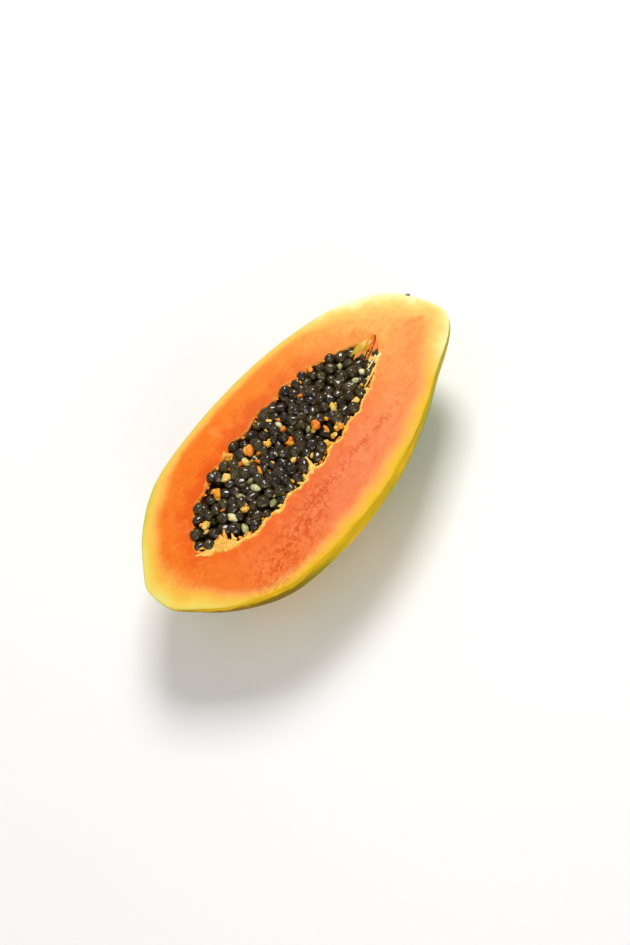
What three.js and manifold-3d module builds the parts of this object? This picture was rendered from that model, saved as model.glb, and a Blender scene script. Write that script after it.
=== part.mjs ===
// Half of a ripe papaya, cut from the blossom end to the stem end, with its seeds still in it.
// It lies on its round back with the cut face up and level. Millimetres, +X to the stem end, +Z up.
// While it is shaped, z = 0 is the cut face. At the end the whole half is lifted until it rests on z = 0.
import * as THREE from 'three';
import { mergeVertices } from 'three/addons/utils/BufferGeometryUtils.js';
import Module from 'manifold-3d';

const wasm = await Module();
wasm.setup();

// Fruit: the knots are half-widths before the ends round off, at even steps from blossom end to stem end
const FRUIT = {
  halfLength: 119.4,
  centre: [0.4, -0.8],
  bend: 4.3, // how far both ends bend to +Y
  widths: [73, 53, 60, 65, 62, 60, 58.5, 57.2, 58.5, 75, 112],
  depths: [70, 55, 59, 62, 61, 60, 59.5, 58.5, 60, 74, 100],
  lobe: 0.014, // five soft ribs run along the skin
  steps: 44,
  sides: 40,
};
const STEM_SLANT = 0.31; // the stem end is cut across aslant, by this much of Y
const STEM_SLANT_FROM = 0.68; // share of the half-length where the slant begins
const FLAT_CUT = 1.0; // the ripe fruit has settled this much on the spot that it rests on

// Seed cavity: a star-shaped hollow a little to one side of the middle, with scalloped edges
const CAVITY = {
  halfLength: 80.6,
  centre: [-0.6, 7.5],
  bend: -2.8,
  widths: [9, 24.5, 26, 24.2, 24.8, 21.6, 16.7],
  depths: [12, 25, 27.5, 27, 26.5, 23, 16],
  lobe: 0.05,
  steps: 34,
  sides: 28,
};
const SCALLOP = { height: 1.2, farPitch: 21.7, farCrest: 4, nearPitch: 18, nearCrest: 5.6 };

// Stem scar: the stub of the stalk that stays in the stem end
const STALK = { root: [110, 6.5, -1.5], tip: [118.6, 9.3, -0.2], radius: 1.9, taper: 0.85, sides: 10 };

// Pulp: pale strands that stand along the near edge of the cavity, and one tongue at its stem end
const STRAND = {
  count: 46,
  from: -79,
  to: 66,
  radius: [1.2, 2.0],
  length: [2.9, 6.3],
  lean: [-0.8, 0.8], // along X, for each step towards the seeds
  rise: [0.25, 0.65],
  root: [-1.0, -1.3], // from the edge, along Y and Z
  sides: 5,
};
const TONGUE = { root: [85, 11, -2.2], tip: [66, 8, 1.2], radius: 4.6, flat: 0.5, sides: 8 };
const CRACK = { root: [71, 2.2, 2.5], tip: [85.5, 7.6, -0.5], radius: 1.1, flat: 3.5, sides: 6 };

// Seeds: a heap one seed deep on a core of seeds below
const SEEDS = {
  count: 160,
  spacing: 6.8,
  margin: 2.7, // from a seed's middle to the cavity's edge
  rounds: 16,
  push: 0.3, // share of an overlap that each of two seeds gives way in a round
  level: -2.2,
  heap: 2.2,
  lift: [-1.3, 1.2],
  size: [0.84, 1.14],
  tilt: [-0.9, 0.9],
  radii: [3.65, 3.2, 3.05],
};
// Loose bits of pulp and pale unripe seeds that show in the heap, each as X, Y and size
const PULP_SPOTS = [
  [-66.8, 11.4, 1.05], [-47.8, 18.6, 0.9], [-45.2, -0.8, 1], [-37.1, 21.1, 1.1], [-26.1, 29.5, 1.15],
  [-22.6, 18.2, 1], [-16.3, 20.5, 1.25], [-6.3, 14.4, 0.85], [-4.3, -4.5, 0.8], [2.5, 4.5, 1],
  [6.5, 13.4, 0.8], [15.5, -14.5, 0.95], [20, -1.2, 1], [27.6, -11.8, 0.8], [28.7, -15, 0.9],
  [35.5, -1.3, 0.85], [46.2, -9.7, 0.85],
];
const PALE_SPOTS = [
  [-54.3, -9.4, 1], [-53.5, 1.4, 1.25], [-40.9, 5.9, 1], [-32, -12, 1], [-31.6, 1.8, 1.15],
  [-29.7, 8.1, 1], [7.2, 18.2, 1], [15.6, 1.3, 0.9], [55.9, -1.4, 1], [57.9, 12.8, 0.95], [63.2, 0.1, 1],
];
const PALE_RADII = [3.1, 1.9, 1.9];
const PULP_RADII = [3.3, 2.5, 2.4];
const CORE = { top: -2.4, heap: 2.2, spread: [0.97, 0.92], sides: 8, steps: 10 };
const GAP = 0.4; // between the seeds and the flesh
const SEED_NUMBER = 11;
const STRAND_NUMBER = 4711;
const FAR = 200; // beyond the fruit

const COLOURS = {
  flesh: { color: 0xf2803c, roughness: 0.5, metalness: 0 },
  seeds: { color: 0x2b2620, roughness: 0.3, metalness: 0 },
};

/** A repeatable run of numbers, each between the two ends of the range it is asked for. */
function draws(start) {
  const [factor, step, turns] = [1664525, 1013904223, 2 ** 32];
  let state = start;
  return ([low, high] = [0, 1]) => {
    state = (Math.imul(state, factor) + step) >>> 0;
    return low + ((high - low) * state) / turns;
  };
}

/** The value of a smooth curve through evenly spaced knots, at a share of its length. */
function along(knots, share) {
  const curve = new THREE.SplineCurve(knots.map((knot, i) => new THREE.Vector2(i, knot)));
  return curve.getPoint(share).y;
}

/** A three.js geometry as a solid, its shared vertices merged. */
function solid(geometry) {
  const bare = geometry.clone();
  bare.deleteAttribute('normal');
  bare.deleteAttribute('uv');
  const merged = mergeVertices(bare, 1e-4);
  const corners = [];
  for (let i = 0; i < merged.index.count; i += 3) {
    const [a, b, c] = [0, 1, 2].map((k) => merged.index.getX(i + k));
    if (a !== b && b !== c && c !== a) corners.push(a, b, c);
  }
  const vertProperties = new Float32Array(merged.attributes.position.array);
  return new wasm.Manifold(new wasm.Mesh({ numProp: 3, vertProperties, triVerts: new Uint32Array(corners) }));
}

/** A solid as a three.js geometry with flat faces. */
function geometryOf(body) {
  const mesh = body.getMesh();
  const geometry = new THREE.BufferGeometry();
  geometry.setAttribute('position', new THREE.BufferAttribute(mesh.vertProperties, 3));
  geometry.setIndex(new THREE.BufferAttribute(mesh.triVerts, 1));
  geometry.computeVertexNormals();
  return geometry;
}

/** Moves every vertex of a geometry to where the rule puts it. */
function sculpt(geometry, rule) {
  const place = geometry.attributes.position;
  for (let i = 0; i < place.count; i++) {
    place.setXYZ(i, ...rule(place.getX(i), place.getY(i), place.getZ(i)));
  }
  return geometry;
}

/**
 * A closed spindle along X with its own width and depth from end to end.
 * edge(x, side) widens it at its two edges, and slant(y, share) moves a point along X.
 */
function spindle(shape, edge = () => 0, slant = () => 0) {
  const profile = [];
  for (let i = 0; i <= shape.steps; i++) {
    const turn = (Math.PI * i) / shape.steps;
    const radius = i % shape.steps === 0 ? 0 : Math.sin(turn) * along(shape.widths, i / shape.steps);
    profile.push(new THREE.Vector2(radius, -shape.halfLength * Math.cos(turn)));
  }
  return sculpt(new THREE.LatheGeometry(profile, shape.sides), (up, length, across) => {
    const share = length / shape.halfLength;
    const step = Math.acos(THREE.MathUtils.clamp(-share, -1, 1)) / Math.PI;
    const around = Math.atan2(up, across);
    const rib = 1 - shape.lobe * Math.sin(5 * around);
    const half = Math.hypot(up, across);
    const wide = rib + (half > 0 ? edge(length, Math.sign(across)) * Math.abs(Math.cos(around)) / half : 0);
    const deep = (rib * along(shape.depths, step)) / along(shape.widths, step);
    const y = across * wide;
    const bend = shape.bend * share * share;
    return [shape.centre[0] + length - slant(y, share), shape.centre[1] + y + bend, up * deep];
  });
}

/** How far the slanted stem end moves a point along X. */
function stemSlant(y, share) {
  return STEM_SLANT * y * THREE.MathUtils.smoothstep(share, STEM_SLANT_FROM, 1);
}

/** Scallops that the seeds have pressed into the edges of the cavity, fading at its ends. */
function scallop(x, side) {
  const pitch = side > 0 ? SCALLOP.farPitch : SCALLOP.nearPitch;
  const crest = side > 0 ? SCALLOP.farCrest : SCALLOP.nearCrest;
  const fade = 1 - (x / CAVITY.halfLength) ** 2;
  return SCALLOP.height * fade * Math.cos((2 * Math.PI * (x - crest)) / pitch);
}

/** Half-width of the cavity at x, without its scallops. */
function cavityHalf(x) {
  const turn = Math.acos(THREE.MathUtils.clamp(-x / CAVITY.halfLength, -1, 1));
  return Math.sin(turn) * along(CAVITY.widths, turn / Math.PI);
}

/** Middle line of the cavity at x, as Y. */
function cavityMiddle(x) {
  return CAVITY.centre[1] + CAVITY.bend * (x / CAVITY.halfLength) ** 2;
}

/** A cone from root to tip. grow widens and lengthens it on all sides. */
function cone(part, grow = 0) {
  const root = new THREE.Vector3(...part.root);
  const tip = new THREE.Vector3(...part.tip);
  const way = tip.clone().sub(root);
  const geometry = new THREE.ConeGeometry(part.radius + grow, way.length() + 2 * grow, part.sides);
  geometry.scale(1, 1, part.flat ?? 1);
  const side = new THREE.Vector3(way.y, -way.x, 0).normalize();
  const axis = way.clone().normalize();
  geometry.applyMatrix4(new THREE.Matrix4().makeBasis(side, axis, side.clone().cross(axis)));
  geometry.translate(...root.add(tip).multiplyScalar(0.5).toArray());
  return solid(geometry);
}

/** The box between two heights, wide enough for the whole fruit. */
function layer(low, high) {
  const size = 4 * FRUIT.halfLength;
  return solid(new THREE.BoxGeometry(size, size, high - low).translate(0, 0, (low + high) / 2));
}

/** Where each pale strand stands on the near edge of the cavity. */
function strands() {
  const random = draws(STRAND_NUMBER);
  const found = [];
  for (let i = 0; i < STRAND.count; i++) {
    const place = (i + random([-0.5, 0.5])) / (STRAND.count - 1);
    const x = THREE.MathUtils.lerp(STRAND.from, STRAND.to, place);
    const edge = cavityMiddle(x) - cavityHalf(x) - scallop(x, -1);
    const long = random(STRAND.length);
    const way = new THREE.Vector3(random(STRAND.lean), 1, random(STRAND.rise)).setLength(long);
    const root = new THREE.Vector3(CAVITY.centre[0] + x, edge + STRAND.root[0], STRAND.root[1]);
    const radius = random(STRAND.radius);
    found.push({ root: root.toArray(), tip: root.add(way).toArray(), radius, sides: STRAND.sides });
  }
  return found;
}

/**
 * Middles of the seeds, pushed apart until they lie side by side within the cavity.
 * The bits of pulp come first and the pale seeds second, and both keep their places.
 */
function seedPlaces(random) {
  const reach = CAVITY.halfLength - SEEDS.margin;
  const widest = Math.max(...CAVITY.widths);
  const places = [...PULP_SPOTS, ...PALE_SPOTS].map(([place, y]) => {
    const x = place - CAVITY.centre[0];
    return [x, y - cavityMiddle(x)];
  });
  const held = places.length;
  while (places.length < SEEDS.count) {
    const x = random([-reach, reach]);
    const y = random([-widest, widest]);
    if (Math.abs(y) < cavityHalf(x) - SEEDS.margin) places.push([x, y]);
  }
  for (let round = 0; round < SEEDS.rounds; round++) {
    for (let i = 0; i < places.length; i++) {
      for (let j = 0; j < i; j++) {
        const [dx, dy] = [places[i][0] - places[j][0], places[i][1] - places[j][1]];
        const apart = Math.hypot(dx, dy);
        if (apart < SEEDS.spacing && apart > 0) {
          const push = (SEEDS.push * (SEEDS.spacing - apart)) / apart;
          if (i >= held) places[i] = [places[i][0] + push * dx, places[i][1] + push * dy];
          if (j >= held) places[j] = [places[j][0] - push * dx, places[j][1] - push * dy];
        }
      }
      const x = THREE.MathUtils.clamp(places[i][0], -reach, reach);
      const room = Math.max(0, cavityHalf(x) - SEEDS.margin);
      places[i] = [x, THREE.MathUtils.clamp(places[i][1], -room, room)];
    }
  }
  return places;
}

/** Every seed and loose bit of pulp as a small solid that sits in the core. */
function seedBodies() {
  const random = draws(SEED_NUMBER);
  const spots = [...PULP_SPOTS, ...PALE_SPOTS];
  return seedPlaces(random).map(([x, y], i) => {
    const yaw = random([0, Math.PI]);
    const tilt = random(SEEDS.tilt);
    const size = random(SEEDS.size) * (i < spots.length ? spots[i][2] : 1);
    const lift = random(SEEDS.lift);
    const out = Math.hypot(x / CAVITY.halfLength, y / Math.max(...CAVITY.widths));
    const pulp = i < PULP_SPOTS.length;
    const pale = !pulp && i < spots.length;
    const radii = pale ? PALE_RADII : pulp ? PULP_RADII : SEEDS.radii;
    const sunk = (SEEDS.radii[2] - radii[2]) / 2;
    const z = SEEDS.level + SEEDS.heap * (1 - out * out) + lift - sunk;
    const geometry = pale ? new THREE.OctahedronGeometry(1, 0) : new THREE.IcosahedronGeometry(1, 0);
    geometry.scale(...radii.map((r) => r * size));
    geometry.rotateY(tilt).rotateZ(yaw);
    geometry.translate(CAVITY.centre[0] + x, cavityMiddle(x) + y, z);
    return solid(geometry);
  });
}

/** A rule that scales a point about the cavity's own middle. */
function aboutCavity([along, across, up]) {
  const [middleX, middleY] = CAVITY.centre;
  return (x, y, z) => [middleX + along * (x - middleX), middleY + across * (y - middleY), up * z];
}

/** The seeds below the top ones, as one mass that keeps clear of the cavity's wall. */
function seedCore(room) {
  const dome = spindle({ ...CAVITY, sides: CORE.sides, steps: CORE.steps, lobe: 0 });
  sculpt(dome, aboutCavity([...CORE.spread, CORE.heap / Math.max(...CAVITY.depths)]));
  return room.intersect(layer(-FAR, CORE.top)).add(solid(dome.translate(0, 0, CORE.top)));
}

/** The cavity shrunk about its own middle, so that it keeps clear of the wall all round. */
function cavityRoom() {
  const share = 1 - GAP / Math.min(...CAVITY.widths.slice(1, -1), ...CAVITY.depths.slice(1, -1));
  return solid(sculpt(spindle(CAVITY, scallop), aboutCavity([share, share, share])));
}

/** Flesh and skin, grown as one: the half fruit with its cavity, strands, tongue and stalk stub. */
function fruitHalf() {
  const whole = solid(spindle(FRUIT, () => 0, stemSlant));
  const grown = [...strands(), TONGUE].map((part) => cone(part));
  const low = FLAT_CUT + whole.boundingBox().min[2];
  return whole
    .add(stalkStub())
    .subtract(layer(0, FAR))
    .subtract(solid(spindle(CAVITY, scallop)))
    .add(wasm.Manifold.union(grown))
    .subtract(cone(CRACK))
    .subtract(layer(-FAR, low));
}

/** The dry stub of the stalk, a short round peg that tapers a little. */
function stalkStub() {
  const root = new THREE.Vector3(...STALK.root);
  const way = new THREE.Vector3(...STALK.tip).sub(root);
  const end = STALK.taper * STALK.radius;
  const peg = new THREE.CylinderGeometry(end, STALK.radius, way.length(), STALK.sides);
  const turn = new THREE.Quaternion().setFromUnitVectors(new THREE.Vector3(0, 1, 0), way.clone().normalize());
  peg.applyQuaternion(turn);
  peg.translate(...root.addScaledVector(way, 0.5).toArray());
  return solid(peg);
}

/** All seeds on their core, clear of the flesh and of every strand. */
function seedHeap() {
  const room = cavityRoom();
  const clear = [...strands(), TONGUE].map((part) => cone(part, GAP));
  return wasm.Manifold.union([seedCore(room), ...seedBodies()])
    .intersect(room.add(layer(GAP, FAR)))
    .subtract(wasm.Manifold.union(clear));
}

/** A named mesh of one body. */
function piece(name, body, look) {
  const mesh = new THREE.Mesh(geometryOf(body), new THREE.MeshStandardMaterial(look));
  mesh.name = name;
  return mesh;
}

const papaya = new THREE.Group();
papaya.add(piece('fruit_half', fruitHalf(), COLOURS.flesh));
papaya.add(piece('seeds', seedHeap(), COLOURS.seeds));

const box = new THREE.Box3().setFromObject(papaya);
const middle = box.getCenter(new THREE.Vector3());
papaya.position.set(-middle.x, -middle.y, -box.min.z);

export default papaya;
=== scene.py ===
"""Half of a ripe papaya with its seeds, lying on its round back with the cut face up.

Shapes are worked out in millimetres with z = 0 at the cut face and +X to the stem end, and are
set into the frame, in metres, when their meshes are made.
"""
import math
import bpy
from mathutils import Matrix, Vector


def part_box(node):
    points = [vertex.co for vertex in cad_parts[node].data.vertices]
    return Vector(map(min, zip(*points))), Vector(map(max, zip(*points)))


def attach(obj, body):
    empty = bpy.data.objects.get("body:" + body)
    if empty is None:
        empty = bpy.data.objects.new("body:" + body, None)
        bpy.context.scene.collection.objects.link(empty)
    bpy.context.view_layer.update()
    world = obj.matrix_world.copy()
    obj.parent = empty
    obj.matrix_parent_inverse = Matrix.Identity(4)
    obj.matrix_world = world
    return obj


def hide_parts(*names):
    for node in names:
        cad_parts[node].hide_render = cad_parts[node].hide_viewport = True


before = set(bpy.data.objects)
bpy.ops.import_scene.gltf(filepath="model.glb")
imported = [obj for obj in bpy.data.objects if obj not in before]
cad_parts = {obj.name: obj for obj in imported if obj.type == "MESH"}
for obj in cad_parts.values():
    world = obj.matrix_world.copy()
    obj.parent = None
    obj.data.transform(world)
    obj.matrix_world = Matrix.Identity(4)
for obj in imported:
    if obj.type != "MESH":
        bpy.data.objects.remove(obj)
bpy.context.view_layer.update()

from types import SimpleNamespace as Values

import bmesh
import bpy
import numpy as np
from mathutils import Matrix, Vector, noise

MM = 0.001

# Forms shared with the CAD source, in millimetres
FRUIT = Values(
    half_length=119.4, centre=(0.4, -0.8), bend=4.3,
    widths=(73, 53, 60, 65, 62, 60, 58.5, 57.2, 58.5, 75, 112),
    depths=(70, 55, 59, 62, 61, 60, 59.5, 58.5, 60, 74, 100), lobe=0.014,
)
STEM_SLANT = 0.31
STEM_SLANT_FROM = 0.68
FLAT_CUT = 1.0
CAVITY = Values(
    half_length=80.6, centre=(-0.6, 7.5), bend=-2.8,
    widths=(9, 24.5, 26, 24.2, 24.8, 21.6, 16.7), depths=(12, 25, 27.5, 27, 26.5, 23, 16),
    lobe=0.05,
)
# Wider stretches of the near edge: middle, reach along x and how much wider
NEAR_BULGES = ((-52, 10, 2.4), (1, 16, 1.8), (53, 9, 1.8))
SCALLOP = Values(height=1.2, far_pitch=21.7, far_crest=4, near_pitch=18, near_crest=5.6)
STRAND = Values(
    count=46, start=-79, end=66, radius=(1.2, 2.0), length=(2.9, 6.3),
    lean=(-0.8, 0.8), rise=(0.25, 0.65), root=(-1.0, -1.3),
)
# Fine strands: how many, the share on the far edge and where, then length, radius and tone by edge
FINE_COUNT, FINE_FAR_SHARE, FINE_BETWEEN = 100, 0.5, (-79, 77)
FINE_FAR = ((0.9, 2.6), (0.5, 1.2), (0.55, 1.0))
FINE_NEAR = ((0.7, 1.5), (0.4, 0.8), (0.1, 0.8))
# Taller teeth of torn tissue on both edges: root, tip, radius and tone
TEETH = (
    ((-4.4, -19.6, -1.4), (0.8, -9.6, 1.2), 2.3, 0.25),
    ((-66.5, -6.4, -1.2), (-61.6, 0.6, 1.2), 1.4, 0.55),
    ((36.4, 29.2, -1.0), (35.4, 24.4, 0.6), 2.0, 0.75),
    ((47.0, 27.6, -1.0), (44.6, 23.4, 0.5), 1.7, 0.85),
    ((-27.6, 32.4, -1.0), (-25.6, 28.2, 0.8), 2.2, 0.6),
    ((84.0, 2.6, -2.2), (70.5, 0.2, 0.6), 1.7, 0.2),
    ((83.0, 1.0, -2.2), (67.5, -2.4, 0.7), 1.6, 0.05),
    ((80.0, -0.8, -1.8), (64.5, -4.8, 0.5), 1.5, 0.3),
    ((78.0, 0.8, -0.6), (65.0, -3.0, 1.2), 0.8, 0.0),
    ((77.0, -2.2, -1.2), (60.5, -7.0, 0.5), 1.4, 0.1),
    ((73.0, -4.0, -0.8), (56.0, -9.0, 0.8), 1.0, 0.35),
    ((79.5, 4.4, -1.4), (70.0, 1.8, 0.7), 1.3, 0.3),
)
# The thin pale flap along the near edge at the blossom end, as its blades
FLAP = (
    ((-69.0, -6.4, -0.9), (-84.6, 3.0, -0.1), 3.2, 0.32),
    ((-72.0, -4.6, -0.9), (-63.0, -11.4, 0.1), 3.4, 0.42),
    ((-65.5, -5.0, -0.6), (-80.0, 3.6, 0.9), 3.0, 0.5),
    ((-66.0, -8.0, -0.9), (-75.0, -1.2, 0.5), 3.2, 0.5),
    ((-69.0, -5.4, -0.6), (-66.4, 1.0, 1.0), 1.8, 0.25),
    ((-73.8, -3.0, -0.6), (-72.0, 2.4, 0.8), 1.9, 0.55),
    ((-63.6, -9.4, -0.6), (-61.4, -5.4, 0.9), 1.6, 0.35),
)
# The tongue at the stem end, its vein and the stub of the stalk as root, tip and radius, and the blades
# beside the tongue with the tones of their ends too
TONGUE = ((86.0, 10.8, -0.9), (66, 8, 1.2), 4.8)
TONGUE_TONE = 0.9
BLADES = (
    ((86.5, 10.8, -0.9), (66.5, 11.4, 0.8), 3.2, (0.8, 0.02)),
    ((86.0, 9.6, -0.8), (68.5, 7.4, 0.9), 3.2, (0.7, 0.3)),
    ((86.0, 8.2, -0.9), (70.5, 4.4, 0.7), 2.9, (0.8, 0.4)),
    ((85.0, 6.4, -1.1), (70.0, 0.6, 0.6), 2.7, (1.0, 0.8)),
)
VEIN = ((85.5, 8.0, -0.1), (69.0, 1.6, 1.5), 0.5)
STALK = ((110, 6.5, -1.5), (118.6, 9.3, -0.2), 1.9)
STALK_TOP = -0.05
# A redder streak at the stem end, and the crack that the vein comes out of
STAIN = Values(start=(101.5, -2.4), end=(111.0, -7.0), reach=(2.6, 0.4), uneven=0.3)
CRACK = Values(start=(69.5, 2.2), end=(85.5, 8.0), depth=2.6, reach=(0.75, 0.25))

# Bent cones by kind: rings, sides, flatness, width left at the end, bluntness (a blunt one keeps its
# width for longer), bow, and width at the root, both as shares
CONES = {
    "strand": (12, 11, 0.75, 0.35, 2.0, 1.0, 1.0),
    "tooth": (16, 12, 0.75, 0.3, 1.5, 1.0, 1.0),
    "flap": (20, 16, 0.4, 0.15, 1.6, 0.25, 1.0),
    "fine": (7, 7, 0.75, 0.35, 1.5, 1.0, 1.0),
    "tongue": (26, 18, 0.36, 0.06, 1.0, 1.0, 0.15),
    "blade": (20, 14, 0.5, 0.12, 2.2, 1.0, 0.15),
    "vein": (24, 8, 1.3, 0.5, 1.0, 1.0, 1.0),
    "stalk": (14, 22, 1.0, 0.85, 1.0, 1.0, 1.0),
    "clump": (10, 9, 0.75, 0.5, 2.2, 1.0, 1.0),
}
CONE_BOW = ((-0.22, 0.22), (-0.05, 0.14))  # sideways and upward, as shares of the length
CONE_WAVE, CONE_WAVE_PACE = 0.2, 9
CONE_JUT, CONE_JUT_SIZE = 0.5, 0.9  # bumps, the size as a share of the radius
CONE_CAPS = (0.2, 0.15)  # how far the ends close beyond the end rings, as shares of the radius
NECK_REACH = 0.45

# Noises that shape the skin, the torn edge and the cut face: height, size and place in the noise
SKIN_WAVES = ((0.45, 34, 3.0), (0.15, 9, 8.0))
TORN_WAVES = ((0.75, 2.6, 5.0), (0.7, 6.5, 9.0))
FACE_WAVES = ((0.22, 21, 1.0), (0.09, 6, 4.0))
TORN = Values(near_from=8, far_share=0.7, near_more=0.3, out=0.4)
TEAR_DEPTH = 3  # the tear fades down the cavity's wall
# Relief of the cut face: height of each part, then its mean or its reach
RELIEF = Values(
    grain=(0.10, 0.3), fibre=(0.30, 0.35), rim=(0.5, 1.3), pit=(0.9, 1.8), lip=(1.3, 4.5, 1.0),
)
PIT_NEAR = 0.2  # share of the cavity's rounded edge that is left on the near side

# Where the cut face turns to its near side, along y, and to its ends, along x
NEAR_FROM = (12, -14)
STEM_FROM = (68, 104)
STEM_LEAN = 0.3
BLOSSOM_FROM = (-80, -106)
# Width of the pale band along the skin, by side and end. Rows are an amount and where it fades in,
# or for the two axes an amount, its middle and its reach
BAND = Values(
    far=5.6, near_more=4.8, near_less=(3.2, -20, -50), far_more=(5.0, -40, -75),
    stem=20, stem_axis=(-6, -8, 14), blossom=13, blossom_near=3,
    blossom_axis=(8, 2, 12),
)
# The line along which the near flesh is most fibrous, how wide it is, and how much there is elsewhere
FIBRES = Values(
    line=-31, sag=(-7, 0, -45), half=3.2, spread=(10, 8, -24),
    weaker=(0.25, -10, 15), blossom_end=(-88, -66), stem_end=(72, 50),
    least=(0.2, 6, 14),
)
# Reach of the cream lip round the cavity, wider over the wedge at the blossom end
LIP = Values(
    reach=0.4, uneven=1.5, wedge_from=(-48, -70), wedge_steadier=0.8, wedge_more=0.3,
    more=(0.9, -15, -35), least=0.2, far_share=0.4, fade=1.4,
)
INNER_REACH = (15, 1)
WELL_FROM = (-1.0, -7.0)
SCAR = Values(from_tip=0.5, z=-2.5, reach=(3.6, 1.4))
NO_EDGE = 30.0  # a distance to stand for an edge that is far away

SEEDS = Values(
    count=160, spacing=6.8, margin=2.7, rounds=16, push=0.3, level=-2.2,
    heap=2.2, lift=(-1.3, 1.2), size=(0.84, 1.14), tilt=(-0.9, 0.9),
    radii=(3.65, 3.2, 3.05),
)
MIDDLE_LAYER = Values(**{**vars(SEEDS), "level": -5.4, "heap": 1.6, "margin": 3.0})
DEEP_LAYER = Values(**{**vars(SEEDS), "level": -10.2, "heap": 1.0, "margin": 5.0})
DEEP_LAYER.count, DEEP_LAYER.spacing = 120, 7.2
SEED_KINDS = 14
SWELL = (0.9, 1.2)
STRETCH = (0.95, 1.2)
OLIVE_FROM = (30, 80)  # the seeds turn olive towards the stem end
OLIVE_TONE = 0.78
# Seeds that bulge over the far edge, as x and y
EDGE_SEEDS = ((-75, 12.2), (-61, 21.8), (-42, 28.6), (-19.4, 31.0), (25.6, 29.4), (39, 27.2), (58, 21.0))
EDGE_LEVEL = 0.0
# Bits of pulp and pale seeds: x, y and size as in the CAD source, then yaw in degrees and tone
PULP_SPOTS = (
    (-66.8, 11.4, 1.05, 15, 0.25), (-47.8, 18.6, 0.9, 40, 0.6), (-45.2, -0.8, 1, 150, 0.35),
    (-37.1, 21.1, 1.1, 170, 0.15), (-26.1, 29.5, 1.15, 20, 0.5), (-22.6, 18.2, 1, 100, 0.05),
    (-16.3, 20.5, 1.25, 60, 0.62), (-6.3, 14.4, 0.85, 0, 0.4), (-4.3, -4.5, 0.8, 30, 0.3),
    (2.5, 4.5, 1, 120, 0.66), (6.5, 13.4, 0.8, 0, 0.7), (15.5, -14.5, 0.95, 80, 0.3),
    (20, -1.2, 1, 45, 0.75), (27.6, -11.8, 0.8, 0, 0.3), (28.7, -15, 0.9, 60, 0.6),
    (35.5, -1.3, 0.85, 90, 0.2), (46.2, -9.7, 0.85, 0, 0.22),
)
PALE_SPOTS = (
    (-54.3, -9.4, 1, 60, 0.6), (-53.5, 1.4, 1.25, 95, 0.1), (-40.9, 5.9, 1, 120, 0.75),
    (-32, -12, 1, 20, 0.85), (-31.6, 1.8, 1.15, 110, 0.4), (-29.7, 8.1, 1, 160, 0.9),
    (7.2, 18.2, 1, 80, 0.05), (15.6, 1.3, 0.9, 30, 0.8), (55.9, -1.4, 1, 140, 0.5),
    (57.9, 12.8, 0.95, 50, 0.55), (63.2, 0.1, 1, 100, 0.1),
)
SPOTS = PULP_SPOTS + PALE_SPOTS
SPOTS_RAISED = 1.3
CLUMP = Values(strands=5, core=0.86, length=(0.45, 0.8), radius=(0.45, 0.7), root=0.3, tone=0.25)
PALE_RADII = (3.1, 1.9, 1.9)
PULP_RADII = (3.3, 2.5, 2.4)
CRUMBS = Values(
    count=46, spacing=6, margin=3, rounds=4, push=0.3, lift=(0.0, 1.8),
    long=(1.2, 2.8), thick=(0.8, 1.5),
)
# Where each run of random numbers starts
SEED_NUMBER = 11
STRAND_NUMBER = 4711
STARTS = {
    "middle": 3301, "deep": 7177, "strands": 991, "tongue": 313, "vein": 41, "stalk": 77,
    "pale": 606, "pulp": 505,
}

# Fineness of the fruit's mesh, and how its rings crowd towards the edges
AROUND = 600
WALL_RINGS = 14
FACE_RINGS = 78
SKIN_RINGS = 50
FACE_CROWDING = 0.6
SKIN_CROWDING = 1.25
EDGE_FADE = 0.03  # how soon the skin leaves the rounded edge, as an angle below the cut

# Camera: where it looks on the cut face, from where, and its roll, as the photograph was taken
LOOK_AT = (-2.9, -20.2)
AZIMUTH = -21.48
ELEVATION = 64.16
ROLL = -30.0
LENS = 80.0
DISTANCE = 1.2285

# Lights: where from, distance and size in metres, and power
LIGHTS = {
    "key": ((0.54, 0.33, 0.78), 1.6, 0.6, 20.4),
    "top": ((-0.5, 0.1, 1.0), 1.7, 1.4, 4),
    "fill": ((-0.45, -0.8, 0.3), 1.8, 1.2, 14),
}
SURROUND = 0.30
FLOOR_RADIUS = 3.0

# Colours along the fruit, from the blossom end to the stem end
FLESH_RAMPS = {
    "far": "10 #f57c1c, 33 #f77d1a, 50 #f7821f, 68 #f99436, 86 #fcb85c",
    "near": "10 #f37c22, 30 #f27c38, 45 #f28350, 60 #f28a5a, 86 #f69c50",
    "deep": "10 #ee6208, 33 #ea5a06, 50 #e86414, 68 #f07c2c, 86 #f9ac54",
}
# Colours of the band, from the skin inwards
BAND_RAMPS = {
    "far": "0 #d2c24c, 6 #e6c84e, 18 #f6c456, 36 #f9b04e, 55 #f9983e",
    "near": "0 #e2b218, 6 #eabd2e, 20 #f3b446, 36 #f6a552, 55 #f49454",
    "stem": "0 #f3f0c4, 7 #f7ea9c, 14 #fad87c, 24 #fcc464, 55 #fbae58",
    "blossom": "0 #eadc74, 10 #f2cf58, 24 #f5bd46, 38 #f9a844, 55 #f5903c",
}
FIBRE_LINES = ((7.0, 1.0, 0.06), (4.8, 1.2, 0.065))  # size, twist and width of each set


def paint(code):
    """An sRGB colour such as "#f28030" as linear numbers."""
    parts = [int(code[i : i + 2], 16) / 255 for i in (1, 3, 5)]
    return [p / 12.92 if p <= 0.04045 else ((p + 0.055) / 1.055) ** 2.4 for p in parts] + [1.0]


def smooth(value, low, high):
    """0 below low, 1 above high and a smooth slope between. low may be the larger one."""
    t = np.clip((value - low) / (high - low), 0, 1)
    return t * t * (3 - 2 * t)


def fade(value, amount, low, high):
    """0 at low and the amount at high."""
    return amount * smooth(value, low, high)


def swell(value, amount, middle, reach):
    """The amount at the middle, fading to 0 beyond the reach on both sides."""
    return amount * np.exp(-(((value - middle) / reach) ** 2))


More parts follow.
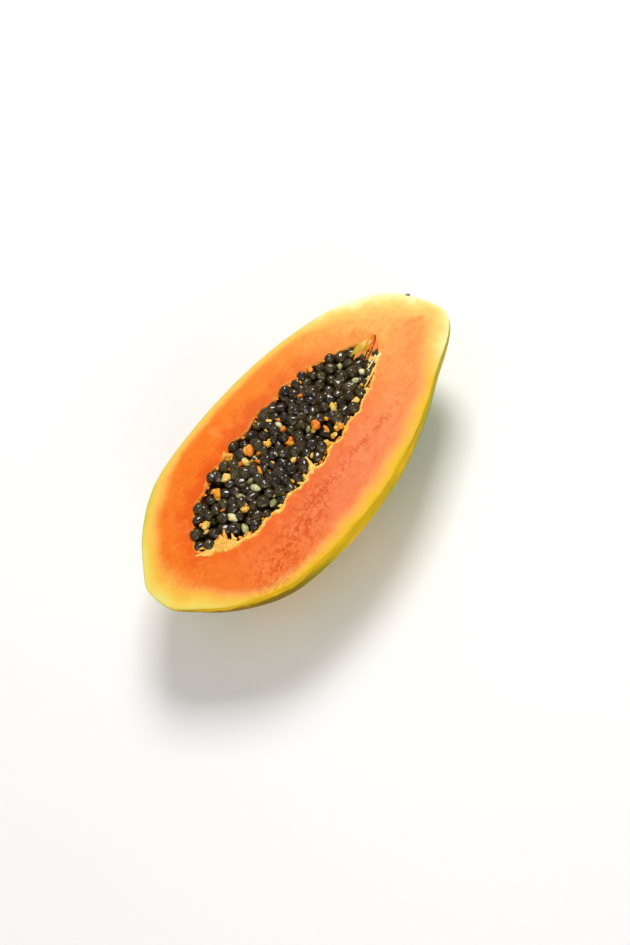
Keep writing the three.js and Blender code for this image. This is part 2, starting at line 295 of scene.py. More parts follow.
def draws(start):
    """A repeatable run of numbers, each between the two ends of the range it is asked for."""
    state = [start]

    def draw(ends=(0, 1)):
        state[0] = (state[0] * 1664525 + 1013904223) % 2**32
        return ends[0] + (ends[1] - ends[0]) * state[0] / 2**32

    return draw


def along(knots, share):
    """Values of a smooth curve through evenly spaced knots, at shares of its length."""
    knots = np.asarray(knots, float)
    last = len(knots) - 1
    place = np.clip(share, 0, 1) * last
    i = np.minimum(np.floor(place).astype(int), last - 1)
    t = place - i
    start, end = knots[i], knots[i + 1]
    pull_start = (end - knots[np.maximum(i - 1, 0)]) / 2
    pull_end = (knots[np.minimum(i + 2, last)] - start) / 2
    cube = 2 * start - 2 * end + pull_start + pull_end
    square = -3 * start + 3 * end - 2 * pull_start - pull_end
    return ((cube * t + square) * t + pull_start) * t + start


def ripple(points, size, seed=0.0):
    """Smooth noise from -1 to 1 at each point, with bumps about size millimetres across."""
    spread = Vector((seed, 1.7 * seed, -0.6 * seed))
    return np.array([noise.noise(Vector(p) / size + spread) for p in points])


def waves(points, rows):
    """Several noises as one, each row with its height, size and place in the noise."""
    return sum(height * ripple(points, size, seed) for height, size, seed in rows)


def aim(around, down):
    """Unit vectors: around is the angle in the cut face, down the angle below it."""
    around, down = np.broadcast_arrays(around, down)
    level = np.cos(down)
    return np.stack([np.cos(around) * level, np.sin(around) * level, -np.sin(down)], axis=-1)


def spindle(shape, unit, edge=None, slant=False):
    """Points of a long round form in the directions of the unit vectors from its middle."""
    nx, ny, nz = unit[..., 0], unit[..., 1], unit[..., 2]
    step = np.arccos(np.clip(-nx, -1, 1)) / math.pi
    wide, deep = along(shape.widths, step), along(shape.depths, step)
    around = np.arctan2(nz, ny)
    rib = 1 - shape.lobe * np.sin(5 * around)
    y = ny * wide * rib
    if edge is not None:
        y += edge(nx * shape.half_length, np.sign(ny)) * np.abs(np.cos(around)) * np.cos(around)
    x = shape.centre[0] + nx * shape.half_length
    if slant:
        x = x - STEM_SLANT * y * smooth(nx, STEM_SLANT_FROM, 1)
    return np.stack([x, shape.centre[1] + y + shape.bend * nx**2, nz * deep * rib], axis=-1)


def scallop(x, side):
    """Scallops along the edges of the cavity, fading at its ends."""
    pitch = np.where(side > 0, SCALLOP.far_pitch, SCALLOP.near_pitch)
    crest = np.where(side > 0, SCALLOP.far_crest, SCALLOP.near_crest)
    fade = 1 - (x / CAVITY.half_length) ** 2
    return SCALLOP.height * fade * np.cos(2 * math.pi * (x - crest) / pitch)


def cavity_half(x):
    """Half-width of the cavity at x, without its scallops."""
    turn = math.acos(max(-1, min(1, -x / CAVITY.half_length)))
    return math.sin(turn) * float(along(CAVITY.widths, turn / math.pi))


def cavity_middle(x):
    """Middle line of the cavity at x, as y."""
    return CAVITY.centre[1] + CAVITY.bend * (x / CAVITY.half_length) ** 2


def rim_angles():
    """Angles round the fruit that divide its outline into equal lengths."""
    fine = np.linspace(0, 2 * math.pi, 8 * AROUND + 1)
    outline = spindle(FRUIT, aim(fine, 0.0), slant=True)
    length = np.concatenate([[0], np.cumsum(np.linalg.norm(np.diff(outline, axis=0), axis=1))])
    return np.interp(np.arange(AROUND) * length[-1] / AROUND, length, fine)


OUTLINE = spindle(FRUIT, aim(rim_angles(), 0.0), slant=True)
DEPTH = -spindle(FRUIT, aim(0.0, np.linspace(0, math.pi, 400)), slant=True)[:, 2].min() - FLAT_CUT


def place_in_frame():
    """How far the forms move so that they stand where the CAD node stands, in millimetres."""
    low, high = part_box("fruit_half")
    middle = (OUTLINE.min(axis=0) + OUTLINE.max(axis=0)) / 2
    return np.array([
        (low[0] + high[0]) / 2 / MM - middle[0],
        (low[1] + high[1]) / 2 / MM - middle[1],
        low[2] / MM + DEPTH,
    ])


SHIFT = place_in_frame()


def in_frame(points):
    """Points in millimetres from the cut face's own frame, as metres in the shared frame."""
    return (np.asarray(points, float) + SHIFT) * MM


def add_piece(name, node, points, faces, materials, fields=None, slots=None):
    """A smooth mesh piece on the root body that stands for one CAD node, with its own fields."""
    mesh = bpy.data.meshes.new(name)
    mesh.from_pydata(in_frame(points).tolist(), [], faces)
    mesh.polygons.foreach_set("use_smooth", [True] * len(mesh.polygons))
    for material in materials:
        mesh.materials.append(material)
    if slots is not None:
        mesh.polygons.foreach_set("material_index", slots)
    for field, values in (fields or {}).items():
        attribute = mesh.attributes.new(field, "FLOAT", "POINT")
        attribute.data.foreach_set("value", np.asarray(values, np.float32))
    mesh.update()
    piece = bpy.data.objects.new(name, mesh)
    bpy.context.scene.collection.objects.link(piece)
    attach(piece, "root")
    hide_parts(node)


# Shader helpers


def new_material(name):
    """An empty node material and its node tree."""
    material = bpy.data.materials.new(name)
    material.use_nodes = True
    material.node_tree.nodes.clear()
    return material, material.node_tree


def node(tree, kind, ins=None, **settings):
    """A shader node with its settings and inputs. A socket as a value is linked."""
    made = tree.nodes.new(kind)
    for key, value in settings.items():
        setattr(made, key, value)
    for key, value in (ins or {}).items():
        if isinstance(value, bpy.types.NodeSocket):
            tree.links.new(value, made.inputs[key])
        else:
            made.inputs[key].default_value = value
    return made


def field(tree, name):
    """A field that the mesh carries."""
    return node(tree, "ShaderNodeAttribute", attribute_name=name).outputs["Fac"]


def maths(tree, operation, a, b=0.0):
    """A maths node's result."""
    return node(tree, "ShaderNodeMath", {0: a, 1: b}, operation=operation).outputs[0]


def times(tree, a, b):
    """The product of two values."""
    return maths(tree, "MULTIPLY", a, b)


def span(tree, value, low, high, to_low=0.0, to_high=1.0):
    """value from low to high, spread smoothly over the second range."""
    ins = {"Value": value, "From Min": low, "From Max": high, "To Min": to_low, "To Max": to_high}
    return node(tree, "ShaderNodeMapRange", ins, interpolation_type="SMOOTHSTEP").outputs[0]


def mix(tree, share, a, b):
    """Colour a where share is 0 and b where it is 1."""
    return node(tree, "ShaderNodeMix", {0: share, 6: a, 7: b}, data_type="RGBA").outputs[2]


def tinted(tree, colour, code, where, amount=None):
    """A colour with another one laid over it where a value is high."""
    share = where if amount is None else times(tree, where, amount)
    return mix(tree, share, colour, paint(code))


def ramp(tree, value, stops):
    """A colour ramp. Each of its stops is a place in hundredths and an sRGB code."""
    made = node(tree, "ShaderNodeValToRGB", {"Fac": value})
    elements = made.color_ramp.elements
    stops = [stop.split() for stop in stops.split(", ")]
    while len(elements) < len(stops):
        elements.new(0.5)
    for element, (place, code) in zip(elements, stops):
        element.position = int(place) / 100
        element.color = paint(code)
    return made.outputs["Color"]


def spot(tree):
    """The point that is shaded, in metres in the object's own frame."""
    return node(tree, "ShaderNodeTexCoord").outputs["Object"]


def cloud(tree, size, detail=2.0, rough=0.5, twist=0.0, stretch=(1, 1, 1)):
    """Noise from 0 to 1 with patches about size millimetres across."""
    place = node(tree, "ShaderNodeMapping", {"Vector": spot(tree), "Scale": stretch}).outputs[0]
    ins = {"Vector": place, "Scale": 1 / (size * MM), "Detail": detail, "Roughness": rough}
    ins["Distortion"] = twist
    return node(tree, "ShaderNodeTexNoise", ins).outputs["Fac"]


def cells(tree, size, feature="DISTANCE_TO_EDGE"):
    """Distance within cells about size millimetres across."""
    ins = {"Vector": spot(tree), "Scale": 1 / (size * MM)}
    return node(tree, "ShaderNodeTexVoronoi", ins, feature=feature).outputs["Distance"]


def bump(tree, height, distance, strength):
    """A normal bent by a height, where distance is in millimetres."""
    ins = {"Height": height, "Distance": distance * MM, "Strength": strength}
    return node(tree, "ShaderNodeBump", ins).outputs[0]


def finish_surface(tree, ins):
    """The surface shader with its inputs, joined to the material's output."""
    shader = node(tree, "ShaderNodeBsdfPrincipled", ins)
    node(tree, "ShaderNodeOutputMaterial", {"Surface": shader.outputs[0]})


# Materials


def flesh_colour(tree, x, near):
    """Orange flesh, redder on the near side and round the cavity, in patches and streaks."""
    lengthways = span(tree, x, -0.120, 0.120)
    lengthways.node.interpolation_type = "LINEAR"
    far, close, deep = (ramp(tree, lengthways, stops) for stops in FLESH_RAMPS.values())
    flesh = mix(tree, near, far, close)
    uneven = span(tree, cloud(tree, 9, 3), 0.3, 0.7, -0.25, 0.25)
    depth = maths(tree, "ADD", field(tree, "inner"), uneven)
    deeper = times(tree, span(tree, depth, 0.0, 0.9), span(tree, near, 0.0, 1.0, 0.9, 0.45))
    flesh = mix(tree, deeper, flesh, deep)
    patch = span(tree, cloud(tree, 11, 4, 0.6, 0.4), 0.35, 0.7)
    flesh = tinted(tree, flesh, "#dc5206", patch, 0.16)
    pale = span(tree, cloud(tree, 8, 3, 0.6, 0.8), 0.5, 0.75)
    flesh = tinted(tree, flesh, "#ffa459", pale, 0.3)
    streak = span(tree, cloud(tree, 2.6, 3, 0.6, 0.5, (0.22, 1, 1)), 0.52, 0.68)
    return tinted(tree, flesh, "#dd5c14", streak, 0.3)


def band_colour(tree, band, near):
    """The pale to yellow band along the skin, by the side and the end of the fruit."""
    far, close, stem, blossom = (ramp(tree, band, stops) for stops in BAND_RAMPS.values())
    side = mix(tree, field(tree, "stem"), mix(tree, near, far, close), stem)
    return mix(tree, field(tree, "blossom"), side, blossom)


def level_lines(tree, size, twist, wide):
    """Thin lines where a twisted noise crosses its middle."""
    off = maths(tree, "SUBTRACT", cloud(tree, size, 3, 0.5, twist), 0.5)
    return span(tree, maths(tree, "ABSOLUTE", off), wide, 0.01)


def fibre_marks(tree):
    """Where short dark fibres show: thin lines, broken up by a wider noise, and stipple."""
    fibrous = field(tree, "fibre")
    line = maths(tree, "MAXIMUM", *(level_lines(tree, *row) for row in FIBRE_LINES))
    broken = span(tree, cloud(tree, 4.4, 2), 0.46, 0.54)
    mark = times(tree, times(tree, line, broken), fibrous)
    stipple = times(tree, span(tree, cloud(tree, 2.2, 3, 0.6, 0.8), 0.48, 0.62), fibrous)
    return maths(tree, "MAXIMUM", times(tree, mark, 0.9), times(tree, stipple, 0.5))


def cavity_colours(tree, colour):
    """The cream lip round the cavity, the deep orange inside it, the stain and the crack."""
    lining = ramp(tree, cloud(tree, 3.2, 3, 0.6, 0.5), "28 #f7a436, 40 #f9b944, 52 #fbca58, 70 #fde496")
    colour = mix(tree, field(tree, "lip"), colour, lining)
    colour = tinted(tree, colour, "#d0621a", field(tree, "well"))
    colour = tinted(tree, colour, "#ee7c40", field(tree, "stain"), 0.5)
    return tinted(tree, colour, "#9a2408", field(tree, "crack"))


def flesh_material():
    """Moist cut flesh: a pale to yellow band along the skin, orange within, fibrous on the near side,
    with painted wet sheen among the fibres.
    """
    material, tree = new_material("papaya_flesh")
    x = node(tree, "ShaderNodeSeparateXYZ", {0: spot(tree)}).outputs[0]
    near = field(tree, "near")
    waver = span(tree, cloud(tree, 14, 3), 0.3, 0.7, -0.12, 0.12)
    band = maths(tree, "DIVIDE", maths(tree, "ADD", field(tree, "band"), waver), 2.0)
    edge, flesh = band_colour(tree, band, near), flesh_colour(tree, x, near)
    colour = mix(tree, span(tree, band, 0.30, 0.66), edge, flesh)
    dark = fibre_marks(tree)
    colour = tinted(tree, colour, "#d84c10", dark)
    # Painted highlight: lighter squiggles among the fibres stand in for wet sheen on the flesh.
    painted_glint = times(tree, span(tree, cloud(tree, 1.3, 2, 0.5, 1.2), 0.58, 0.68), field(tree, "fibre"))
    colour = cavity_colours(tree, tinted(tree, colour, "#ffa878", painted_glint, 0.4))
    height = maths(tree, "ADD", times(tree, cloud(tree, 1.6, 4, 0.65), 0.6), times(tree, dark, -0.8))
    finish_surface(tree, {
        "Base Color": colour,
        "Normal": bump(tree, height, 0.25, 0.8),
        "Roughness": span(tree, cloud(tree, 5, 3), 0.3, 0.7, 0.36, 0.55),
        "Specular IOR Level": 0.1,
        "Subsurface Weight": 0.2,
        "Subsurface Radius": (1.0, 0.35, 0.12),
        "Subsurface Scale": 0.0025,
    })
    return material


def ripening_colour(tree, x, depth):
    """Golden to olive skin along the cut, mottled green below it and greener to the stem end."""
    stem = times(tree, span(tree, x, 0.020, 0.090), 0.3)
    mottle = times(tree, span(tree, cloud(tree, 38, 4, 0.55, 0.5), 0.32, 0.68), 0.6)
    below = ramp(tree, maths(tree, "ADD", mottle, stem), "10 #e6b214, 32 #cda812, 55 #a2a014, 85 #6c8e16")
    golden = maths(tree, "ADD", times(tree, cloud(tree, 16, 3, 0.5), 0.7), stem)
    rim = ramp(tree, golden, "22 #e6b80c, 40 #d0a60c, 62 #bcaa14")
    return mix(tree, span(tree, depth, 14.0, 6.0), below, rim)


def painted_blossom_shade(tree, x, depth):
    """Painted shade: where the skin is darkened below the near edge at the blossom end, towards the
    floor.
    """
    shade = times(tree, span(tree, depth, 2.5, 8.0), span(tree, depth, 26.0, 15.0))
    shade = times(tree, shade, span(tree, x, -0.020, -0.075))
    return times(tree, shade, field(tree, "near"))


def skin_material():
    """Ripening skin with flecks, fine pores, the scar of the blossom and painted shade below the near
    edge at the blossom end.
    """
    material, tree = new_material("papaya_skin")
    x = node(tree, "ShaderNodeSeparateXYZ", {0: spot(tree)}).outputs[0]
    depth = maths(tree, "ADD", field(tree, "below"), span(tree, cloud(tree, 12, 3), 0.3, 0.7, -2.0, 2.0))
    colour = ripening_colour(tree, x, depth)
    # Painted shade: the skin darkened towards the floor below the near edge at the blossom end.
    colour = tinted(tree, colour, "#5c4204", painted_blossom_shade(tree, x, depth), 0.8)
    fleck = span(tree, cloud(tree, 5, 5, 0.65), 0.54, 0.75)
    colour = tinted(tree, colour, "#7d6c10", fleck, 0.35)
    pore = span(tree, cells(tree, 3.4, "F1"), 0.17, 0.05)
    pore = times(tree, pore, span(tree, cloud(tree, 22, 2), 0.42, 0.62))
    colour = tinted(tree, colour, "#c9bd6a", pore, 0.55)
    colour = tinted(tree, colour, "#6b5430", field(tree, "scar"))
    height = maths(tree, "ADD", times(tree, cloud(tree, 2.6, 5, 0.6), 0.5), times(tree, pore, 0.35))
    finish_surface(tree, {
        "Base Color": colour,
        "Normal": bump(tree, height, 0.14, 0.6),
        "Roughness": span(tree, cloud(tree, 9, 3), 0.3, 0.7, 0.42, 0.58),
        "Specular IOR Level": 0.03,
        "Subsurface Weight": 0.05,
        "Subsurface Radius": (1.0, 0.6, 0.2),
        "Subsurface Scale": 0.0015,
    })
    return material


def pulp_material(name, stops):
    """Moist torn pulp. tone picks its colour, and fine fibres run in it."""
    material, tree = new_material(name)
    grain = span(tree, cloud(tree, 1.1, 4, 0.65, 0.8), 0.3, 0.7, -0.3, 0.3)
    colour = ramp(tree, maths(tree, "ADD", field(tree, "tone"), grain), stops)
    finish_surface(tree, {
        "Base Color": colour,
        "Normal": bump(tree, cloud(tree, 0.7, 3, 0.6), 0.18, 0.7),
        "Roughness": 0.4,
        "Specular IOR Level": 0.3,
        "Subsurface Weight": 0.15,
        "Subsurface Radius": (1.0, 0.6, 0.25),
        "Subsurface Scale": 0.0015,
        "Coat Weight": 0.15,
        "Coat Roughness": 0.2,
    })
    return material


def seed_material(name, painted_sheen_share, coat):
    """Wet dark brown to olive seeds with a fine net of wrinkles under a clear coat, and lighter olive
    patches that are partly their translucent coat and partly painted sheen.
    """
    material, tree = new_material(name)
    vein = span(tree, cells(tree, 1.0), 0.0, 0.18)
    # Painted sheen: lighter olive patches, partly the seeds' own translucent coat; painted_sheen_share
    # sets how much is laid on.
    olive_sheen = span(tree, cloud(tree, 3.0, 3), 0.46, 0.66)
    stops = "0 #150b04, 25 #2b1805, 50 #3a2808, 78 #4f4416, 100 #3c130b"
    colour = ramp(tree, field(tree, "tone"), stops)
    colour = tinted(tree, colour, "#8d7433", olive_sheen, painted_sheen_share)
    colour = mix(tree, vein, paint("#0c0703"), colour)
    finish_surface(tree, {
        "Base Color": colour,
        "Normal": bump(tree, vein, 0.2, 0.8),
        "Roughness": 0.5,
        "Specular IOR Level": 0.1,
        "Coat Weight": coat,
        "Coat IOR": 1.52,
        "Coat Roughness": 0.06,
    })
    return material


def stalk_material():
    """Dry grey-brown stalk."""
    material, tree = new_material("stalk_bark")
    colour = ramp(tree, cloud(tree, 1.5, 4, 0.6, 0.3), "30 #6d6248, 55 #958a68, 75 #aca482")
    finish_surface(tree, {
        "Base Color": colour,
        "Normal": bump(tree, cloud(tree, 0.8, 4, 0.7), 0.3, 0.8),
        "Roughness": 0.8,
    })
    return material


# The fruit


def outward(points):
    """Unit vectors from the fruit's long axis to each point."""
    away = points * (0.0, 1.0, 1.0) - (0.0, FRUIT.centre[1], 0.0)
    return away / np.maximum(np.linalg.norm(away, axis=-1, keepdims=True), 1e-6)


def uneven_skin(points):
    """The skin's soft dents and swellings."""
    return points + outward(points) * waves(points, SKIN_WAVES)[:, None]


def nearest(points, line):
    """Distance of each point to a closed line, both seen from above."""
    gaps = points[:, None, :2] - line[None, :, :2]
    return np.sqrt((gaps**2).sum(axis=2).min(axis=1))


def torn_edge(points):
    """How far the cavity's edge is torn in or out at each point."""
    torn = waves(points, TORN_WAVES)
    near = smooth(points[:, 1], cavity_middle(0), cavity_middle(0) - TORN.near_from)
    for middle, reach, wider in NEAR_BULGES:
        torn = torn - near * swell(points[:, 0], wider, middle, reach)
    return torn * (TORN.far_share + TORN.near_more * near) - TORN.out


def segment_distance(points, start, end):
    """Distance of each point to a straight stretch, both seen from above."""
    start, end = np.array(start), np.array(end)
    way = end - start
    share = np.clip(((points[:, :2] - start) @ way) / (way @ way), 0, 1)
    return np.linalg.norm(points[:, :2] - start - share[:, None] * way, axis=1)


def band_width(x, y, near, stem, blossom):
    """Width of the pale band along the skin at each point of the cut face."""
    width = BAND.far + near * (BAND.near_more - fade(x, *BAND.near_less))
    width = width + (1 - near) * fade(x, *BAND.far_more)
    at_stem = BAND.stem + swell(y, *BAND.stem_axis)
    width = width + (at_stem - width) * stem
    at_blossom = BAND.blossom + BAND.blossom_near * near + swell(y, *BAND.blossom_axis)
    return width + (at_blossom - width) * blossom


def fibre_share(x, y, rim):
    """How fibrous the flesh is at each point of the cut face."""
    line = FIBRES.line + fade(x, *FIBRES.sag)
    half = FIBRES.half + fade(x, *FIBRES.spread)
    strong = swell(y, 1 - fade(x, *FIBRES.weaker), line, half)
    strong = strong * smooth(x, *FIBRES.blossom_end) * smooth(x, *FIBRES.stem_end)
    return np.maximum(strong, fade(rim, *FIBRES.least))


def lip_share(points, near, pit):
    """Where the cream lip round the cavity lies, pit being the distance to the cavity."""
    x = points[:, 0]
    wedge = smooth(x, *LIP.wedge_from) * near
    uneven = LIP.uneven * (1 - LIP.wedge_steadier * wedge) * ripple(points, 5.0, 2.0)
    reach = LIP.reach + uneven + LIP.wedge_more * wedge + near * fade(x, *LIP.more)
    reach = np.maximum(reach, LIP.least)
    return np.maximum(near, LIP.far_share) * smooth(pit, reach + LIP.fade, reach)


def face_fields(points, rim, pit):
    """What the shaders read at each point, rim and pit being the distances to skin and cavity."""
    x, y = points[:, 0], points[:, 1]
    near = smooth(y, *NEAR_FROM)
    stem = smooth(x + STEM_LEAN * y, *STEM_FROM)
    blossom = smooth(x, *BLOSSOM_FROM)
    from_crack = segment_distance(points, CRACK.start, CRACK.end)
    from_stain = segment_distance(points, STAIN.start, STAIN.end)
    from_stain = from_stain * (1 + STAIN.uneven * ripple(points, 3.0, 4.0))
    none = np.zeros(len(points))
    return {
        "near": near,
        "stem": stem,
        "blossom": blossom,
        "band": rim / band_width(x, y, near, stem, blossom),
        "fibre": fibre_share(x, y, rim),
        "lip": lip_share(points, near, pit),
        "inner": smooth(pit, *INNER_REACH),
        "crack": smooth(from_crack, *CRACK.reach),
        "stain": smooth(from_stain, *STAIN.reach),
        "well": none,
        "below": none,
        "scar": none,
    }


def face_height(points, rim, pit, fields):
    """Relief of the cut face: knife waves, fibres, a torn lip and rounded edges."""
    height = waves(points, FACE_WAVES)
    grain = np.abs(ripple(points, 1.9, 6.0))
    for share, (amount, mean) in ((1, RELIEF.grain), (fields["fibre"], RELIEF.fibre)):
        height += amount * share * (grain - mean)
    around_pit = 1 - (1 - PIT_NEAR) * fields["near"]
    for share, gap, (amount, reach) in ((1, rim, RELIEF.rim), (around_pit, pit, RELIEF.pit)):
        height -= amount * share * smooth(gap, reach, 0.0) ** 2
    ragged = np.clip(0.55 + 0.9 * ripple(points, 2.2, 7.0), 0, 1.4)
    height += fields["lip"] * ragged * fade(pit, *RELIEF.lip)
    return height - fade(fields["crack"], CRACK.depth, 0.0, 1.0)


def wall_rings(around, tear):
    """Rings of the cavity's wall, from its bottom up to the torn edge."""
    rings = []
    for down in np.linspace(math.pi / 2, 0, WALL_RINGS + 1)[1:-1]:
        wall = spindle(CAVITY, aim(around, down), edge=scallop)
        wall = wall + tear * np.exp(wall[:, 2:] / TEAR_DEPTH)
        fields = face_fields(wall, np.full(AROUND, NO_EDGE), np.zeros(AROUND))
        fields["well"] = smooth(wall[:, 2], *WELL_FROM)
        fields["crack"] = np.zeros(AROUND)
        rings.append((wall, fields, 0))
    return rings


def face_rings(torn, outer):
    """Rings of the cut face, from the cavity's torn edge to the skin, closer together at both."""
    rings = []
    for step in np.linspace(0, 1, FACE_RINGS + 1):
        share = step - FACE_CROWDING * math.sin(2 * math.pi * step) / (2 * math.pi)
        face = torn + (outer - torn) * share
        rim, pit = nearest(face, outer), nearest(face, torn)
        fields = face_fields(face, rim, pit)
        face[:, 2] = face_height(face, rim, pit, fields)
        rings.append((face, fields, 0))
    return rings


def skin_rings(around, edge_drop):
    """Rings of the skin, from the cut's rounded edge down to the bottom."""
    tip_x, tip_y = SCAR.from_tip - FRUIT.half_length, FRUIT.centre[1] + FRUIT.bend
    rings = []
    for down in (math.pi / 2) * np.linspace(0, 1, SKIN_RINGS + 1)[1:-1] ** SKIN_CROWDING:
        skin = uneven_skin(spindle(FRUIT, aim(around, down), slant=True))
        skin[:, 2] = np.maximum(skin[:, 2] + edge_drop * math.exp(-down / EDGE_FADE), -DEPTH)
        fields = face_fields(skin, np.zeros(AROUND), np.full(AROUND, NO_EDGE))
        fields["below"] = -skin[:, 2]
        from_tip = np.linalg.norm(skin - np.array([tip_x, tip_y, SCAR.z]), axis=1)
        fields["scar"] = smooth(from_tip, *SCAR.reach)
        rings.append((skin, fields, 1))
    return rings


def fruit_rings():
    """Rings of points from the bottom of the cavity, over the cut face, to the bottom of the skin."""
    around = rim_angles()
    inner = spindle(CAVITY, aim(around, 0.0), edge=scallop)
    inward = np.array(CAVITY.centre + (0,)) - inner
    inward /= np.linalg.norm(inward, axis=1, keepdims=True)
    tear = inward * torn_edge(inner)[:, None]
    rings = wall_rings(around, tear) + face_rings(inner + tear, uneven_skin(OUTLINE))
    return rings + skin_rings(around, rings[-1][0][:, 2])


def tube_faces(rings, sides):
    """Faces of a closed tube of rings with a point before the first and after the last."""
    faces = [(0, 1 + (j + 1) % sides, 1 + j) for j in range(sides)]
    for k in range(rings - 1):
        low, high = 1 + k * sides, 1 + (k + 1) * sides
        for j in range(sides):
            after = (j + 1) % sides
            faces.append((low + j, low + after, high + after, high + j))
    low, last = 1 + (rings - 1) * sides, 1 + rings * sides
    return faces + [(low + j, low + (j + 1) % sides, last) for j in range(sides)]


def pole(ring, height):
    """One closing point for an end ring, with the mean of the ring's fields."""
    points, fields, _ = ring
    point = points.mean(axis=0)
    point[2] = height
    return point[None], {key: values.mean(keepdims=True) for key, values in fields.items()}


def build_fruit(flesh, skin):
    """The half fruit as one closed mesh of cavity wall, cut face and skin."""
    rings = fruit_rings()
    floor = -max(CAVITY.depths) * (1 + CAVITY.lobe)
    first, last = pole(rings[0], floor), pole(rings[-1], -DEPTH)
    points = np.concatenate([first[0]] + [r[0] for r in rings] + [last[0]])
    fields = {
        key: np.concatenate([first[1][key]] + [r[1][key] for r in rings] + [last[1][key]])
        for key in rings[0][1]
    }
    slots = np.repeat([0] + [r[2] for r in rings[1:]] + [1], AROUND).tolist()
    faces = tube_faces(len(rings), AROUND)
    materials = [flesh, skin]
    add_piece("papaya_half", "fruit_half", points, faces, materials, fields, slots)


# Strands, tongue and stalk


def bent_cone(kind, root, tip, radius, random):
    """A closed, bent, uneven cone from root to tip, in the shape that its kind has in CONES."""
    rings, sides, flat, end, blunt, bow, neck = CONES[kind]
    root, tip = np.array(root, float), np.array(tip, float)
    way = tip - root
    length = np.linalg.norm(way)
    axis = way / length
    side = np.array([axis[1], -axis[0], 0.0])
    side /= np.linalg.norm(side)
    up = np.cross(side, axis)
    bow = bow * length * np.array([random(ends) for ends in CONE_BOW])
    seed = random((0, 50))
    points = [root - axis * CONE_CAPS[0] * radius]
    for share in (k / (rings - 1) for k in range(rings)):
        middle = root + way * share + (side * bow[0] + up * bow[1]) * math.sin(math.pi * share)
        wave = 1 + CONE_WAVE * math.sin(CONE_WAVE_PACE * share + seed)
        size = radius * (1 - (1 - end) * share**blunt) * wave
        size *= neck + (1 - neck) * min(1, share / NECK_REACH)
        for turn in (2 * math.pi * j / sides for j in range(sides)):
            point = middle + size * (side * math.cos(turn) + up * flat * math.sin(turn))
            place = Vector(point) / (CONE_JUT_SIZE * radius) + Vector((seed, 0, 0))
            points.append(middle + (point - middle) * (1 + CONE_JUT * noise.noise(place)))
    points.append(tip + axis * CONE_CAPS[1] * radius + (side * bow[0]) * 0.2)
    return np.array(points), tube_faces(rings, sides)


def gather(parts):
    """Several (points, faces, tone) parts as one set of points, faces and tones."""
    points, faces, tones, offset = [], [], [], 0
    for some_points, some_faces, tone in parts:
        points.append(some_points)
        faces += [tuple(offset + i for i in f) for f in some_faces]
        tones.append(np.broadcast_to(tone, len(some_points)))
        offset += len(some_points)
    return np.concatenate(points), faces, np.concatenate(tones)


def add_toned(name, node, parts, material):
    """One piece made of (points, faces, tone) parts, with the tone as its field."""
    points, faces, tones = gather(parts)
    add_piece(name, node, points, faces, [material], {"tone": tones})


def strand_places():
    """The pale strands on the near edge, in the order and at the places of the CAD source."""
    random = draws(STRAND_NUMBER)
    found = []
    for i in range(STRAND.count):
        place = (i + random((-0.5, 0.5))) / (STRAND.count - 1)
        x = STRAND.start + (STRAND.end - STRAND.start) * place
        edge = cavity_middle(x) - cavity_half(x) - float(scallop(x, -1))
        length = random(STRAND.length)
        way = np.array([random(STRAND.lean), 1, random(STRAND.rise)])
        way *= length / np.linalg.norm(way)
        root = np.array([CAVITY.centre[0] + x, edge + STRAND.root[0], STRAND.root[1]])
        found.append((root, root + way, random(STRAND.radius)))
    return found


def fine_strands(random):
    """Fine torn strands round the whole edge of the cavity."""
    parts = []
    for _ in range(FINE_COUNT):
        x = random(FINE_BETWEEN)
        side, ranges = (1, FINE_FAR) if random() < FINE_FAR_SHARE else (-1, FINE_NEAR)
        edge = cavity_middle(x) + side * (cavity_half(x) + float(scallop(x, side)))
        y, z = edge + side * random((0.0, 0.9)), random((-2.4, -0.9))
        root = np.array([CAVITY.centre[0] + x, y, z])
        length = random(ranges[0])
        way = np.array([random((-1.2, 1.2)), -side, random((-0.1, 0.6))]) * length
        radius, tone = random(ranges[1]), random(ranges[2])
        parts.append((*bent_cone("fine", root, root + way, radius, random), tone))
    return parts


def build_strands(material):
    """Pale torn strands that lean from the near edge over the seeds, and finer ones round the rest."""
    random = draws(STARTS["strands"])
    parts = []
    for root, tip, radius in strand_places():
        tip = root + (tip - root) * random((0.3, 0.8))
        strand = bent_cone("strand", root, tip, radius * random((0.5, 0.9)), random)
        parts.append((*strand, random((0.1, 0.9))))
    for kind, rows in (("tooth", TEETH), ("flap", FLAP)):
        for root, tip, radius, tone in rows:
            parts.append((*bent_cone(kind, root, tip, radius, random), tone))
    parts += fine_strands(random)
    add_toned("pulp_strands", "fruit_half", parts, material)


def build_tongue(material):
    """The tongue of fibrous tissue at the stem end of the cavity, with the blades beside it."""
    random = draws(STARTS["tongue"])
    parts = [(*bent_cone("tongue", *TONGUE, random), TONGUE_TONE)]
    for root, tip, radius, tones in BLADES:
        points, faces = bent_cone("blade", root, tip, radius, random)
        share = np.clip((root[0] - points[:, 0]) / (root[0] - tip[0]), 0, 1)
        parts.append((points, faces, tones[0] + (tones[1] - tones[0]) * share))
    add_toned("tissue_tongue", "fruit_half", parts, material)


def build_vein(material):
    """One red vein that runs from the flesh over the tongue's near side."""
    points, faces = bent_cone("vein", *VEIN, draws(STARTS["vein"]))
    add_piece("red_vein", "fruit_half", points, faces, [material])


def build_stalk(material):
    """The dry stub of the stalk, cut through with the fruit."""
    points, faces = bent_cone("stalk", *STALK, draws(STARTS["stalk"]))
    points[:, 2] = np.minimum(points[:, 2], STALK_TOP)
    add_piece("stalk_stub", "fruit_half", points, faces, [material])


# Seeds


